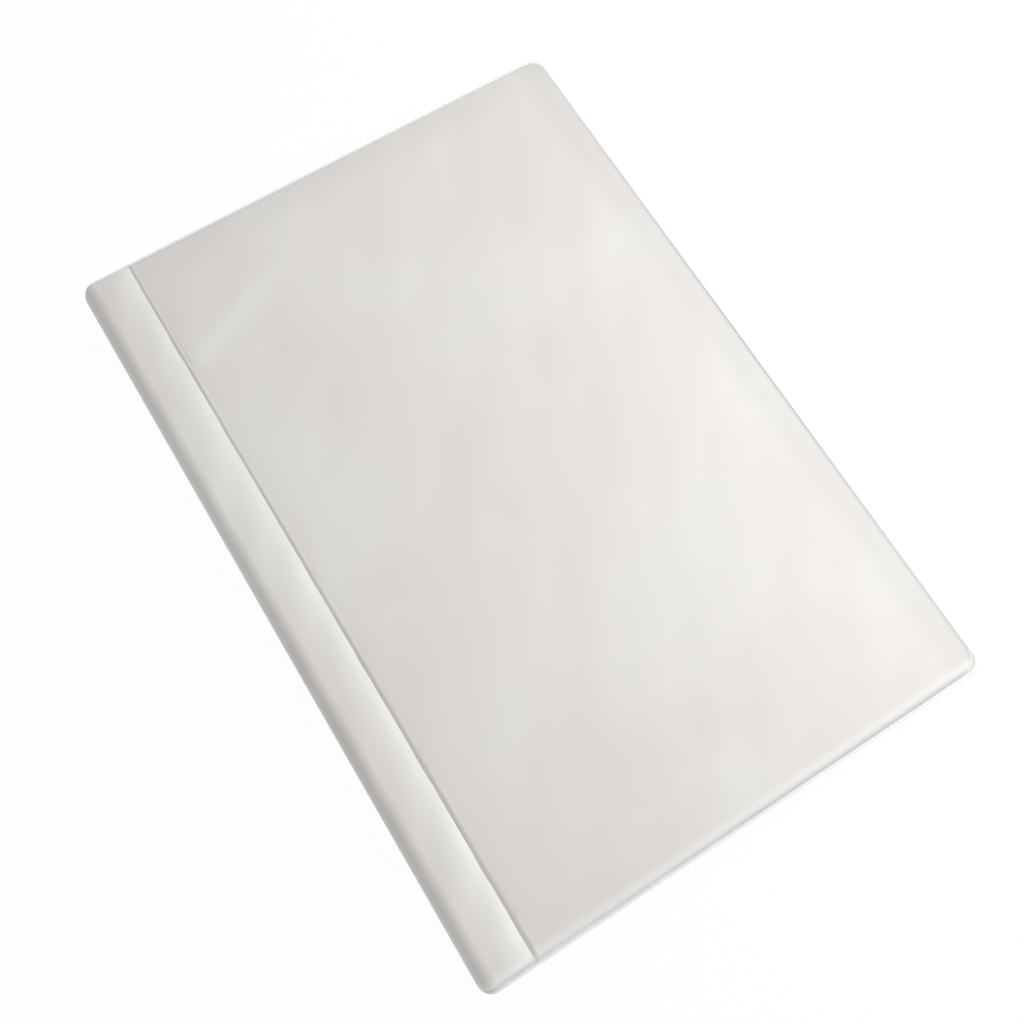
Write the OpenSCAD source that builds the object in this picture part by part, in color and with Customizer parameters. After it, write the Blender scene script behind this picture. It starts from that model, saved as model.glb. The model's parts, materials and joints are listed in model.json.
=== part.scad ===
// Padded vinyl document wallet that opens like a book, closed and lying on its rear cover.
// X runs from the spine to the fore-edge, Y along the spine to the top edge, Z up.
// The origin is the middle of the footprint, on the face that the wallet rests on.

/* [Wallet] */
// Length of the wallet along its spine
wallet_l = 220; // [170:1:320]
// Width of the closed wallet, from the spine to the fore-edge
wallet_w = 154; // [130:1:240]
// Radius of the outer corners
corner_r = 3.2; // [1.5:0.1:8]
// Space between the two inner faces beside the spine
document_gap = 5; // [4:0.5:9]
// Gap between the two inner faces where they close on each other at the fore-edge
closed_gap = 0.4; // [0.2:0.1:1.5]

/* [Films] */
// Thickness of the outer film
outer_t = 0.35; // [0.2:0.05:0.6]
// Thickness of the lining film
liner_t = 0.3; // [0.2:0.05:0.5]
// Thickness of the pocket film
pocket_t = 0.3; // [0.2:0.05:0.5]
// Room between a pocket film and the lining behind it
pocket_gap = 0.4; // [0.2:0.1:1]
// Depth of a pocket, from the fore-edge rim to its mouth
pocket_depth = 100; // [60:1:105]

/* [Padding] */
// Height of the padded surface above the welded rim
panel_rise = 2.7; // [2.3:0.1:4]
// Thickness of the stiffening board
board_t = 1.2; // [0.6:0.1:1.4]
// Width over which a cover rolls down to its rim at the two ends
edge_shoulder = 16; // [6:0.5:20]
// Width over which a cover rolls down to its rim at the fore-edge
fore_shoulder = 6; // [4:0.5:20]
// Width over which a cover rolls down to the hinge groove
groove_shoulder = 5; // [3:0.5:10]
// Width over which the spine strip rolls down to the hinge groove
strip_shoulder = 5; // [3:0.5:7]
// Length over which the spine strip rolls down to its ends
end_shoulder = 4; // [2:0.5:12]
// Thickness of the padded wall at the fold, from the spine to the lining
fold_wall = 0.9; // [0.8:0.1:2]
// Radius of the padded panel's corners at the fore-edge
panel_corner_r = 5.5; // [2:0.5:12]
// Radius of the padded panel's corners at the hinge groove
groove_corner_r = 1; // [0.5:0.1:3]

/* [Welds] */
// Width of the flat welded rim
rim_w = 2; // [1.5:0.1:5]
// Distance from the spine to the middle of the hinge groove
strip_w = 15.6; // [15:0.1:24]
// Width of the hinge groove
groove_w = 1.2; // [1:0.1:2]
// Diameter of the weld bead at the bottom of the hinge groove
bead_d = 0.6; // [0.4:0.1:0.7]

/* [Clearances] */
// Gap between film edges and the weld that they butt against
seat_gap = 0.05; // [0:0.01:0.1]
// Gap between the padding and the film around it
padding_ease = 0.1; // [0.05:0.05:0.3]
// Gap between the edge of a board and the film at its top face
board_ease = 0.5; // [0.2:0.1:3]
// Gap between the two halves of the spine at the fold
fold_gap = 0.3; // [0.2:0.1:0.6]

/* [Hidden] */

// The films fuse into a rim as thick as the lining, the pocket and the room between them
rim_t = pocket_t + pocket_gap + liner_t;
// Heights above the fold plane, which lies halfway up the closed wallet
inner_h = document_gap / 2;
rim_top_h = inner_h + rim_t;
liner_h = rim_top_h - liner_t;
roll_r = rim_top_h + panel_rise;
hinge_h = inner_h + rim_t / 2;
// Places across the wallet, measured from the spine
strip_edge_x = strip_w - groove_w / 2;
cover_edge_x = strip_w + groove_w / 2;
rim_inner_x = wallet_w - rim_w;
pocket_mouth_x = rim_inner_x - pocket_depth;
// Middle of the roll that the lining and the end welds follow
liner_roll_x = fold_wall + rim_top_h;
// Half lengths along the spine
half_l = wallet_l / 2;
panel_half_l = half_l - rim_w;
// The fold axis lies just outside the spine, so that the two halves clear each other when open
fold_clear = fold_gap / 2;
close_angle = asin((document_gap - closed_gap) / (wallet_w + fold_clear));
// The shoulders follow superellipses, with a steeper wall at the rims than at the groove
edge_power = 4;
groove_power = 2.5;
shoulder_steps = 8;
corner_steps = 6;
roll_steps = 12;
// Thickness that the film and the pad of the spine strip keep at their ends
end_lip = 0.1;
// Extra length of a cutting shape, so that it passes right through
overcut = 1;
$fn = 64;

film_color = [0.86, 0.86, 0.85];
lining_color = [0.93, 0.93, 0.92];
pocket_color = [0.9, 0.93, 0.96, 0.6];
weld_color = [0.97, 0.97, 0.96];
foam_color = [0.98, 0.96, 0.88];
board_color = [0.62, 0.6, 0.56];

// How far in a shoulder has reached a share of its height
function inset_at(share, shoulder, power) = shoulder * (1 - pow(1 - pow(share, power), 1 / power));
// Shares of the height from a start to the top, closer together towards the top
function shares_from(start, power) =
    let (first = asin(pow(start, power / 2)))
    [for (k = [0 : shoulder_steps]) k == shoulder_steps ? 1
        : pow(sin(first + (90 - first) * k / shoulder_steps), 2 / power)];

// One corner of a ring, an arc of a quarter turn
function corner(center, r, start, z) =
    [for (k = [0 : corner_steps]) let (a = start + 90 * k / corner_steps)
        [center[0] + r * cos(a), center[1] + r * sin(a), z]];

// A ring round the padded panel, drawn in by its own distance at the groove, the fore-edge and the ends
function panel_ring(groove_inset, fore_inset, end_inset, z) =
    let (
        x0 = cover_edge_x + groove_inset,
        x1 = rim_inner_x - fore_inset,
        y1 = panel_half_l - end_inset,
        r0 = groove_corner_r,
        r1 = panel_corner_r
    )
    concat(
        corner([x1 - r1, r1 - y1], r1, -90, z),
        corner([x1 - r1, y1 - r1], r1, 0, z),
        corner([x0 + r0, y1 - r0], r0, 90, z),
        corner([x0 + r0, r0 - y1], r0, 180, z)
    );

// The rings of the padded panel from a share of its height up, shrunk by a film's thickness
function panel_rings(shrink, start) =
    [for (share = shares_from(start, edge_power))
        panel_ring(
            shrink + inset_at(share, groove_shoulder, groove_power),
            shrink + inset_at(share, fore_shoulder, edge_power),
            shrink + inset_at(share, edge_shoulder, edge_power),
            rim_top_h + (panel_rise - shrink) * share)];

// A cross-section of the spine strip, from the fold up round the roll and down to the groove
function strip_section(left, r, low, shrink, y) =
    let (
        start = asin(low / r),
        x1 = strip_edge_x - shrink,
        roll = [for (k = [0 : roll_steps]) let (a = start + (90 - start) * k / roll_steps)
            [left + r - r * cos(a), y, r * sin(a)]],
        shoulder = [for (share = reversed(shares_from(0, groove_power)))
            [x1 - inset_at(share, strip_shoulder, groove_power), y, rim_top_h + (r - rim_top_h) * share]]
    )
    concat(roll, shoulder, [[x1, y, low]]);

// The cross-sections of the spine strip from one end to the other, with a straight lip at each end
function strip_sections(shrink, low, lip) =
    let (
        rise = panel_rise - shrink - lip,
        draw_in = fold_wall - shrink - lip,
        half = [for (share = shares_from(0, edge_power))
            [shrink + draw_in * (1 - share), rim_top_h + lip + rise * share,
                panel_half_l - shrink - inset_at(share, end_shoulder, edge_power)]]
    )
    concat(
        [for (end = half) strip_section(end[0], end[1], low, shrink, -end[2])],
        [for (end = reversed(half)) strip_section(end[0], end[1], low, shrink, end[2])]
    );

function reversed(list) = [for (k = [len(list) - 1 : -1 : 0]) list[k]];

// A closed solid through a row of rings with equal numbers of points
module loft(rings) {
    n = len(rings[0]);
    last = len(rings) - 1;
    sides = [for (k = [0 : last - 1]) for (i = [0 : n - 1])
        let (j = (i + 1) % n, a = k * n + i, b = k * n + j, c = b + n, d = a + n)
        each [[a, d, c], [a, c, b]]];
    first_cap = [for (i = [0 : n - 1]) i];
    last_cap = [for (i = [n - 1 : -1 : 0]) last * n + i];
    polyhedron([for (ring = rings) each ring], concat([first_cap], sides, [last_cap]));
}

// A flat outline from an edge at the groove side to rounded corners at the fore-edge
module sheet_outline(x0, x1, half, r) {
    translate([x0, -half])
        square([x1 - r - x0, 2 * half]);
    translate([x0, r - half])
        square([x1 - x0, 2 * (half - r)]);
    for (side = [-1, 1])
        translate([x1 - r, side * (half - r)])
            circle(r);
}

module flat_sheet(x0, inset, h, t) {
    translate([0, 0, h])
        linear_extrude(t)
            sheet_outline(x0, rim_inner_x - inset, panel_half_l - inset, panel_corner_r - inset);
}

// Everything inside the path that runs at height r along the strip and down round the roll
module under_path(r) {
    translate([liner_roll_x, 0])
        circle(r);
    translate([liner_roll_x, -r])
        square([strip_edge_x - liner_roll_x + overcut, 2 * r]);
}

// A layer along that path, from the fold to the groove
module path_band(r0, r1) {
    intersection() {
        difference() {
            under_path(r1);
            under_path(r0);
        }
        translate([0, fold_clear])
            square([strip_edge_x, r1]);
    }
}

module along_spine(length) {
    rotate([90, 0, 0])
        linear_extrude(length, center = true)
            children();
}

// The pieces of one half, with the fold plane at Z = 0 and the spine at X = 0

module rim_weld() {
    translate([0, 0, inner_h])
        linear_extrude(rim_t)
            difference() {
                sheet_outline(cover_edge_x, wallet_w, half_l, corner_r);
                sheet_outline(cover_edge_x - overcut, rim_inner_x, panel_half_l, panel_corner_r);
            }
}

module liner_sheet() {
    flat_sheet(cover_edge_x, seat_gap, liner_h, liner_t);
}

module pocket_sheet() {
    flat_sheet(pocket_mouth_x, seat_gap, inner_h, pocket_t);
}

module board() {
    share = board_t / (panel_rise - outer_t);
    rim_inset = outer_t + inset_at(share, max(edge_shoulder, fore_shoulder), edge_power) + board_ease;
    groove_inset = outer_t + inset_at(share, groove_shoulder, groove_power) + board_ease;
    flat_sheet(cover_edge_x + groove_inset, rim_inset, rim_top_h, board_t);
}

module foam_pad() {
    shrink = outer_t + padding_ease;
    loft(panel_rings(shrink, board_t / (panel_rise - shrink)));
}

module outer_sheet() {
    loft(concat(reversed(panel_rings(outer_t, 0)), panel_rings(0, 0)));
}

module hinge_weld() {
    translate([strip_w, 0, hinge_h])
        rotate([90, 0, 0])
            cylinder(d = bead_d, h = wallet_l, center = true);
    translate([strip_edge_x, -half_l, hinge_h - bead_d / 2])
        cube([groove_w / 2, wallet_l, bead_d]);
}

module spine_end_welds() {
    for (side = [-1, 1])
        intersection() {
            translate([0, side * (half_l - rim_w / 2), 0])
                along_spine(rim_w)
                    path_band(inner_h, rim_top_h);
            linear_extrude(roll_r)
                mirror([1, 0, 0])
                    sheet_outline(-strip_edge_x, -fold_wall, half_l, corner_r);
        }
}

module spine_liner() {
    along_spine(2 * (panel_half_l - seat_gap))
        path_band(liner_h, rim_top_h);
}

module spine_pad() {
    difference() {
        loft(strip_sections(outer_t + padding_ease, fold_clear, padding_ease + end_lip));
        along_spine(wallet_l)
            under_path(rim_top_h + padding_ease);
    }
}

module spine_sheet() {
    difference() {
        loft(strip_sections(0, fold_clear, end_lip));
        loft(strip_sections(outer_t, -overcut, end_lip));
        along_spine(wallet_l)
            under_path(rim_top_h);
    }
}

// The rear half lies with its outer face down, and the front half closes over it

module rear_half() {
    translate([-wallet_w / 2, 0, roll_r])
        mirror([0, 0, 1])
            children();
}

module front_half() {
    translate([-wallet_w / 2 - fold_clear, 0, roll_r])
        rotate([0, close_angle, 0])
            translate([fold_clear, 0, 0])
                children();
}

module rear_rim_weld() { color(weld_color) rear_half() rim_weld(); }
module rear_liner_sheet() { color(lining_color) rear_half() liner_sheet(); }
module rear_pocket_sheet() { color(pocket_color) rear_half() pocket_sheet(); }
module rear_board() { color(board_color) rear_half() board(); }
module rear_foam_pad() { color(foam_color) rear_half() foam_pad(); }
module rear_outer_sheet() { color(film_color) rear_half() outer_sheet(); }
module rear_hinge_weld() { color(weld_color) rear_half() hinge_weld(); }
module rear_spine_end_welds() { color(weld_color) rear_half() spine_end_welds(); }
module rear_spine_liner() { color(lining_color) rear_half() spine_liner(); }
module rear_spine_pad() { color(foam_color) rear_half() spine_pad(); }
module rear_spine_sheet() { color(film_color) rear_half() spine_sheet(); }
module front_rim_weld() { color(weld_color) front_half() rim_weld(); }
module front_liner_sheet() { color(lining_color) front_half() liner_sheet(); }
module front_pocket_sheet() { color(pocket_color) front_half() pocket_sheet(); }
module front_board() { color(board_color) front_half() board(); }
module front_foam_pad() { color(foam_color) front_half() foam_pad(); }
module front_outer_sheet() { color(film_color) front_half() outer_sheet(); }
module front_hinge_weld() { color(weld_color) front_half() hinge_weld(); }
module front_spine_end_welds() { color(weld_color) front_half() spine_end_welds(); }
module front_spine_liner() { color(lining_color) front_half() spine_liner(); }
module front_spine_pad() { color(foam_color) front_half() spine_pad(); }
module front_spine_sheet() { color(film_color) front_half() spine_sheet(); }

rear_rim_weld();
rear_liner_sheet();
rear_pocket_sheet();
rear_board();
rear_foam_pad();
rear_outer_sheet();
rear_hinge_weld();
rear_spine_end_welds();
rear_spine_liner();
rear_spine_pad();
rear_spine_sheet();
front_rim_weld();
front_liner_sheet();
front_pocket_sheet();
front_board();
front_foam_pad();
front_outer_sheet();
front_hinge_weld();
front_spine_end_welds();
front_spine_liner();
front_spine_pad();
front_spine_sheet();
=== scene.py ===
import json
import math

import bmesh
import bpy
import numpy as np
from mathutils import Matrix, Vector


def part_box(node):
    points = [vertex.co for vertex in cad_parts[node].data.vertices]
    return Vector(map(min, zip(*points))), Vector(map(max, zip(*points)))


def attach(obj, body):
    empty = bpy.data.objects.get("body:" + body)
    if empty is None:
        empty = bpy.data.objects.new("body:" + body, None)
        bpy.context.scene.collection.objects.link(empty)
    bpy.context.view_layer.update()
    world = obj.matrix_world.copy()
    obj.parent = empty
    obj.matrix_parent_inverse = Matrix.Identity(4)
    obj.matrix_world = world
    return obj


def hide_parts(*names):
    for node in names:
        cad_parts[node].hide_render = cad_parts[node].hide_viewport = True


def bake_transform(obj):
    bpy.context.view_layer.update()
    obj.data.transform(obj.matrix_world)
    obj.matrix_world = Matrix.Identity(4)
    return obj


bl_info = {
    "name": "Padded vinyl document wallet",
    "version": (1, 0, 0),
    "blender": (4, 5, 0),
    "location": "3D View > Sidebar > Wallet",
    "description": "Builds the films, padding, welds and finishes of a book-style vinyl wallet",
    "category": "Object",
}

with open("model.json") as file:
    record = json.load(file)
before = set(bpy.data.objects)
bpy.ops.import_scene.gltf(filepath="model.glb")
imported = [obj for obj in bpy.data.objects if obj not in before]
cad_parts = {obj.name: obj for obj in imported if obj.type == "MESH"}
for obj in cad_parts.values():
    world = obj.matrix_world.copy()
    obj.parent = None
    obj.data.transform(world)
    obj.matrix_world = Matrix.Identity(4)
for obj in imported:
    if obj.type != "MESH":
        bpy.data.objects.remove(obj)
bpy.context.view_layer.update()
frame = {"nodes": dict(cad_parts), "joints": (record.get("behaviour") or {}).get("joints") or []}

# Places and sizes of the solid model, in metres. Each half of the wallet has its own plan:
# x runs from the spine, y along the spine, and h is the height away from the fold plane.
FOLD = next(joint for joint in frame["joints"] if joint["name"] == "spine_fold")
FOLD_X, _, FOLD_Z = FOLD["pos_m"]
CLOSE_ANGLE = math.radians(FOLD["range_deg"][1] - 180)
RIM_LOW, RIM_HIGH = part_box("rear_rim_weld")
WRAP_LOW, WRAP_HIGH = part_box("rear_spine_sheet")
BOARD_LOW, BOARD_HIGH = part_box("rear_board")
PANEL_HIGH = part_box("rear_outer_sheet")[1]
LINER_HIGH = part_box("rear_liner_sheet")[1]
POCKET_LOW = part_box("rear_pocket_sheet")[0]
SPINE_X = WRAP_LOW.x
FORE_EDGE = RIM_HIGH.x - SPINE_X
PANEL_EDGE = PANEL_HIGH.x - SPINE_X
COVER_EDGE = RIM_LOW.x - SPINE_X
STRIP_EDGE = WRAP_HIGH.x - SPINE_X
POCKET_MOUTH = POCKET_LOW.x - SPINE_X
FOLD_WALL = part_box("rear_spine_end_welds")[0].x - SPINE_X
HALF_L = RIM_HIGH.y
PANEL_HALF_L = PANEL_HIGH.y
INNER_H = FOLD_Z - RIM_HIGH.z
POCKET_TOP_H = FOLD_Z - POCKET_LOW.z
LINER_H = FOLD_Z - LINER_HIGH.z
RIM_TOP_H = FOLD_Z - RIM_LOW.z
BOARD_TOP_H = FOLD_Z - BOARD_LOW.z
ROLL_R = FOLD_Z - WRAP_LOW.z
RISE = ROLL_R - RIM_TOP_H
LINER_ROLL_X = FOLD_WALL + RIM_TOP_H

MM = 0.001
TINY = 1e-9
SIDES = ("front", "rear")
# The mesh attribute that carries each film's painted light and painted shade
TONE = "tone"

# A padded bank: how square its steep wall is, where 2 is a quarter circle, and the points over its
# wall and its crown
WALL_POWER = 2.5
WALL_COUNT = 12
CROWN_COUNT = 8

# Slow unevenness: cycles per metre across and along the wallet, the shift from one wave to the next,
# and the phase at which each film starts
WAVES = ((11, 23), (-29, 17), (41, -38), (19, 52), (-63, 30))
WAVE_SHIFT = 1.7
PHASES = {"front": 0.4, "rear": 2.1, "spine": 1.1, "lining": 3.3, "pocket": 5.2}

# Angles in degrees above which an edge of a mesh shows as an edge
SHARP = 50
RIM_SHARP = 60
SKIN_SHARP = 80

# The viewpoint of the photograph, in the frame of the model
PHOTO_SIZE = 1024
PHOTO_FOCAL = 1159.5
PHOTO_EYE = (-0.05340, -0.08119, 0.30836)
PHOTO_BACK = (-0.14934, -0.22908, 0.96188)
PHOTO_UP = (0.50617, 0.81796, 0.27339)
SENSOR = 36.0


# Settings

def size(label, words, default):
    """A length that a user may change."""
    return bpy.props.FloatProperty(
        name=label, description=words, default=default, min=0.0, precision=5, unit="LENGTH")


def colour(label, words, default):
    """A colour that a user may change."""
    return bpy.props.FloatVectorProperty(
        name=label, description=words, default=default, min=0.0, max=1.0, size=3, subtype="COLOR")


def share(label, words, default):
    """A share from 0 to 1 that a user may change."""
    return bpy.props.FloatProperty(
        name=label, description=words, default=default, min=0.0, max=1.0, subtype="FACTOR")


def power(label, words, default):
    """The power of a lamp."""
    return bpy.props.FloatProperty(name=label, description=words, default=default, min=0.0, unit="POWER")


def angle(label, words, degrees):
    """An angle that a user may change."""
    return bpy.props.FloatProperty(
        name=label, description=words, default=math.radians(degrees), subtype="ANGLE")


class WalletSizes(bpy.types.PropertyGroup):
    """Sizes of the soft forms"""
    film: size("Film", "Thickness of the outer film", 0.35 * MM)
    ease: size("Ease", "Gap between the foam and the film round it", 0.1 * MM)
    edge_wall: size("Edge wall", "Width of the steep rounded wall at a cover's rim", 1.5 * MM)
    edge_crown: size("Edge crown", "Width over which a cover crowns from its rim", 12 * MM)
    groove_wall: size("Groove wall", "Width of the steep rounded wall of a cover at the groove", 0.8 * MM)
    groove_crown: size("Groove crown", "Width over which a cover crowns from the groove", 4 * MM)
    groove_room: size("Groove room", "How far a padded cover keeps back from the groove's weld", 0.7 * MM)
    strip_wall: size("Strip wall", "Width of the steep rounded wall of the spine at the groove", 0.6 * MM)
    strip_over: size("Strip overhang", "How far the padded spine bulges out over the groove", 0.35 * MM)
    strip_crown: size("Strip crown", "Width over which the spine crowns from the groove", 8.5 * MM)
    roll_width: size("Roll width", "Width over which the spine rolls over to its flat top", 4.8 * MM)
    roll_in: size("Roll in", "How far the padded roll stays inside the spine's outermost line", 0.25 * MM)
    web_sag: size("Web sag", "How far the hinge web sags below the lining on the inside", 0.2 * MM)
    depth_top: size("Groove depth, top", "Depth of a hinge groove at the top edge", 0.38 * MM)
    depth_bottom: size("Groove depth, bottom", "Depth of a hinge groove at the bottom edge", 0.7 * MM)
    band_top: size("Groove bank, top", "Width of a hinge groove's bank at the top edge", 0.7 * MM)
    band_bottom: size("Groove bank, bottom", "Width of a hinge groove's bank at the bottom edge", 1.25 * MM)
    web_at_cover: size("Web at cover", "Height of the hinge web above the rim on the cover's side", 2.55 * MM)
    end_wall: size("End wall", "Length of the steep rounded walls at the ends of the spine", 1.5 * MM)
    end_crown: size("End crown", "Length over which the spine crowns from its ends", 8 * MM)
    edge_over: size("Edge overhang", "How far the padded edges bulge out over the rim", 0.6 * MM)
    panel_corner: size("Panel corner", "Corner radius of the padded panel", 4.5 * MM)
    rim_corner: size("Rim corner", "Corner radius of the outer edge", 3.2 * MM)
    spine_corner: size("Spine corner", "Corner radius of the outer edge at the spine", 3 * MM)
    weld_corner: size("Weld corner", "Corner radius of the welded ends at the spine", 4.2 * MM)
    spine_draw: size("Spine draw", "How far the spine draws in at its ends", 0.4 * MM)
    lip: size("End lip", "Height of the straight lip at the ends of the spine", 0.1 * MM)
    trench: size("Weld trench", "Depth of the pressed line along the padded edge", 0.2 * MM)
    rib_pitch: size("Rib pitch", "Distance between the fine ribs that the weld tool leaves", 1.5 * MM)
    rib: size("Rib height", "Height of the fine ribs on the rim", 0.03 * MM)
    wave: size("Wave", "Height of the slow unevenness of the padded covers", 0.14 * MM)
    strip_wave: size("Strip wave", "Height of the slow unevenness of the padded spine", 0.28 * MM)
    crease: size("Crease", "Height of the faint crease across the front cover's corner", 0.25 * MM)
    # Painted highlight: width of the light line painted just inside a weld
    painted_line_width: size("Whitened edge", "Width of the film that is stretched white along a weld", 1 * MM)
    # Painted shade: width of the darker band painted along a weld
    painted_shade_band: size("Bare edge", "Width of the film along a weld that no foam backs", 13 * MM)
    # Painted highlight: how much lighter the film is painted along that line
    painted_highlight_tone: share("White tone", "How much lighter the film is where it is stretched white", 0.5)
    # Painted shade: how much darker the film is painted in that band
    painted_shade_tone: share("Bare tone", "How much darker the film is where no foam backs it", 0.26)
    # Painted shade: how much darker the rims are painted along the pressed line
    trench_painted_shade: share("Trench tone", "How much darker the fused film is along the pressed line", 0.9)
    # Painted highlight: how much lighter the film is painted along the crease's ridge
    crease_painted_highlight: share("Crease tone", "How much lighter the film is along the crease", 0.4)
    # Painted light: how much lighter the spine's flat top is painted than its roll
    strip_painted_light: share("Strip tone", "How much lighter the film is on the spine, over its foam", 0.5)
    # Painted highlight: how much lighter the spine is painted on its ridge beside the groove
    ridge_painted_highlight: share("Ridge tone", "How much lighter the film is on the spine beside the groove", 0.35)
    sheet_wave: size("Sheet wave", "Height of the slow waves in the inner films", 0.12 * MM)
    mouth_lift: size("Mouth lift", "How far a pocket's mouth stands open at its middle", 0.5 * MM)
    grid: size("Grid", "Spacing of the mesh on the covers", 2.4 * MM)
    edge_crown_share: share("Edge crown height", "Share of a cover's height in its crown at the rim", 0.3)
    groove_crown_share: share(
        "Groove crown height", "Share of a cover's height in its crown at the groove", 1.0)
    strip_crown_share: share(
        "Strip crown height", "Share of the spine's height in its crown at the groove", 1.0)
    end_crown_share: share("End crown height", "Share of the spine's height in its crown at its ends", 0.15)


class WalletColours(bpy.types.PropertyGroup):
    """Colours of the films, foam and board"""
    vinyl_light: colour("Vinyl light", "Milky vinyl, its lighter haze", (0.75, 0.731, 0.704))
    vinyl_shade: colour("Vinyl shade", "Milky vinyl, its darker haze", (0.712, 0.685, 0.662))
    weld: colour("Weld", "Fused vinyl of the rims and the spine's ends", (0.87, 0.87, 0.86))
    weld_shade: colour("Weld shade", "Fused vinyl where it is pressed thin", (0.82, 0.82, 0.81))
    lining_light: colour("Lining light", "Lining vinyl, its lighter haze", (0.76, 0.758, 0.745))
    lining_shade: colour("Lining shade", "Lining vinyl, its darker haze", (0.71, 0.707, 0.696))
    pocket: colour("Pocket", "Tint of the clear pocket film", (0.86, 0.88, 0.9))
    foam: colour("Foam", "Foam padding", (0.82, 0.79, 0.68))
    foam_pore: colour("Foam pore", "The pores of the foam", (0.6, 0.57, 0.47))
    board: colour("Board", "Grey stiffening board", (0.36, 0.33, 0.29))
    board_fibre: colour("Board fibre", "Fibres in the board", (0.24, 0.22, 0.19))
    # Painted light: the colour of the rims where they are painted lighter, along the top edge and the spine's
    # top end
    weld_painted_light: colour("Weld white", "Fused vinyl where it is thickest", (0.95, 0.95, 0.94))
    # Painted light: the colour of the films where light and highlights are painted on them
    vinyl_painted_light: colour("Vinyl white", "Milky vinyl where it is stretched white", (0.86, 0.85, 0.83))
    # Painted shade: the colour of the films and rims where shade is painted on them
    vinyl_painted_shade: colour("Vinyl bare", "Milky vinyl where nothing backs it", (0.48, 0.468, 0.455))
    vinyl_roughness: share("Vinyl roughness", "Roughness of the satin outer film", 0.4)
    pocket_alpha: share("Pocket opacity", "How much of what is behind the pocket film it hides", 0.3)


class WalletStage(bpy.types.PropertyGroup):
    """Floor, light and camera"""
    floor: colour("Floor", "Colour of the floor", (0.94, 0.94, 0.94))
    floor_clear: share("Floor clear", "Share of what is behind the floor that the camera sees", 0.96)
    sky: share("Sky", "Level of the even light from all round", 0.5)
    key: power("Key lamp", "Power of the soft lamp over the fore-edge", 1.62)
    key_long: size("Key length", "Length of the soft lamp along the wallet", 0.6)
    key_wide: size("Key width", "Width of the soft lamp", 0.25)
    key_away: size("Key distance", "Distance of the soft lamp from the wallet", 0.44)
    key_turn: angle("Key turn", "Direction of the soft lamp round the wallet", -9)
    key_height: angle("Key height", "Angle of the soft lamp above the floor", 50)


def sizes():
    """The sizes that are set now."""
    return bpy.context.scene.wallet_sizes


def colours():
    """The colours that are set now."""
    return bpy.context.scene.wallet_colours


# Shape helpers

def bank(distance, wall, crown, crown_share, crown_power=2):
    """Share of the height at a distance in from the foot: a steep rounded wall, then a slow crown."""
    w = np.clip(distance / wall, 0, 1)
    c = np.clip(distance / crown, 0, 1)
    steep = (1 - (1 - w) ** WALL_POWER) ** (1 / WALL_POWER)
    slow = 1 - (1 - c) ** crown_power
    return (1 - crown_share) * steep + crown_share * slow


def lead(wall, crown):
    """Distances in from the foot at which a bank is sampled, close together at its foot."""
    turn = np.linspace(0, math.pi / 2, WALL_COUNT)
    steep = 1 - np.clip(np.cos(turn), 0, 1) ** (2 / WALL_POWER)
    return np.concatenate([wall * steep, np.linspace(wall, crown, CROWN_COUNT)[1:]])


def smooth_step(t):
    """A smooth rise from 0 to 1 as t goes from 0 to 1."""
    t = np.clip(t, 0, 1)
    return t * t * (3 - 2 * t)


def graded(start, stop, lead_in, lead_out, steps):
    """Coordinates from start to stop: sampled closely over the two leads, in equal steps between."""
    first = start + lead_in
    last = (stop - lead_out)[::-1]
    return np.concatenate([first, np.linspace(first[-1], last[0], steps + 1)[1:-1], last])


def placed(x, y, h, tilt):
    """Points of a plan as points of the model, where tilt is 1 in the front half and 0 in the rear."""
    x, y, h, tilt = np.broadcast_arrays(x, y, h, tilt)
    angle = CLOSE_ANGLE * tilt
    reach = x - (FOLD_X - SPINE_X)
    return np.stack([
        FOLD_X + reach * np.cos(angle) + h * np.sin(angle),
        y,
        FOLD_Z - reach * np.sin(angle) + h * np.cos(angle),
    ], axis=-1)


def on_side(side, x, y, h):
    """Points of one cover's plan as points of the model."""
    if side == "front":
        return placed(x, y, h, 1.0)
    return placed(x, y, -h, 0.0)


def waves(x, y, phase):
    """Slow unevenness between -1 and 1."""
    total = np.zeros(np.broadcast(x, y).shape)
    for k, (across, along) in enumerate(WAVES):
        total = total + np.sin(2 * math.pi * (across * x + along * y) + phase + WAVE_SHIFT * k)
    return total / len(WAVES)


def round_corners(x, y, x1, y1, radius):
    """The grid with its two fore-edge corners drawn in to arcs."""
    a = np.clip((x - (x1 - radius)) / radius, 0, None)
    b = np.clip((np.abs(y) - (y1 - radius)) / radius, 0, None)
    inside = np.maximum(np.hypot(a, b), TINY)
    pull = np.where((a > 0) & (b > 0), np.maximum(a, b) / inside, 1.0)
    new_x = np.where(a > 0, x1 - radius + a * pull * radius, x)
    new_y = np.where(b > 0, np.sign(y) * (y1 - radius + b * pull * radius), y)
    return new_x, new_y


# Mesh helpers

def new_piece(name, points, faces, material, sharp=SHARP, tone=None):
    """A mesh object with outward faces, smooth shading and a tone at each of its points."""
    mesh = bpy.data.meshes.new(name)
    mesh.from_pydata([tuple(p) for p in points], [], faces)
    work = bmesh.new()
    work.from_mesh(mesh)
    bmesh.ops.recalc_face_normals(work, faces=work.faces)
    work.to_mesh(mesh)
    work.free()
    mesh.shade_smooth()
    mesh.set_sharp_from_angle(angle=math.radians(sharp))
    mesh.materials.append(material)
    if tone is not None:
        field = mesh.attributes.new(TONE, "FLOAT", "POINT")
        field.data.foreach_set("value", np.ravel(tone).astype(np.float32))
    piece = bpy.data.objects.new(name, mesh)
    bpy.context.scene.collection.objects.link(piece)
    return piece


def grid_faces(rows, columns, start=0, turn=False):
    """Quads between the points of a grid."""
    faces = []
    for i in range(rows - 1):
        for j in range(columns - 1):
            a = start + i * columns + j
            quad = (a, a + 1, a + columns + 1, a + columns)
            faces.append(quad[::-1] if turn else quad)
    return faces


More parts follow.
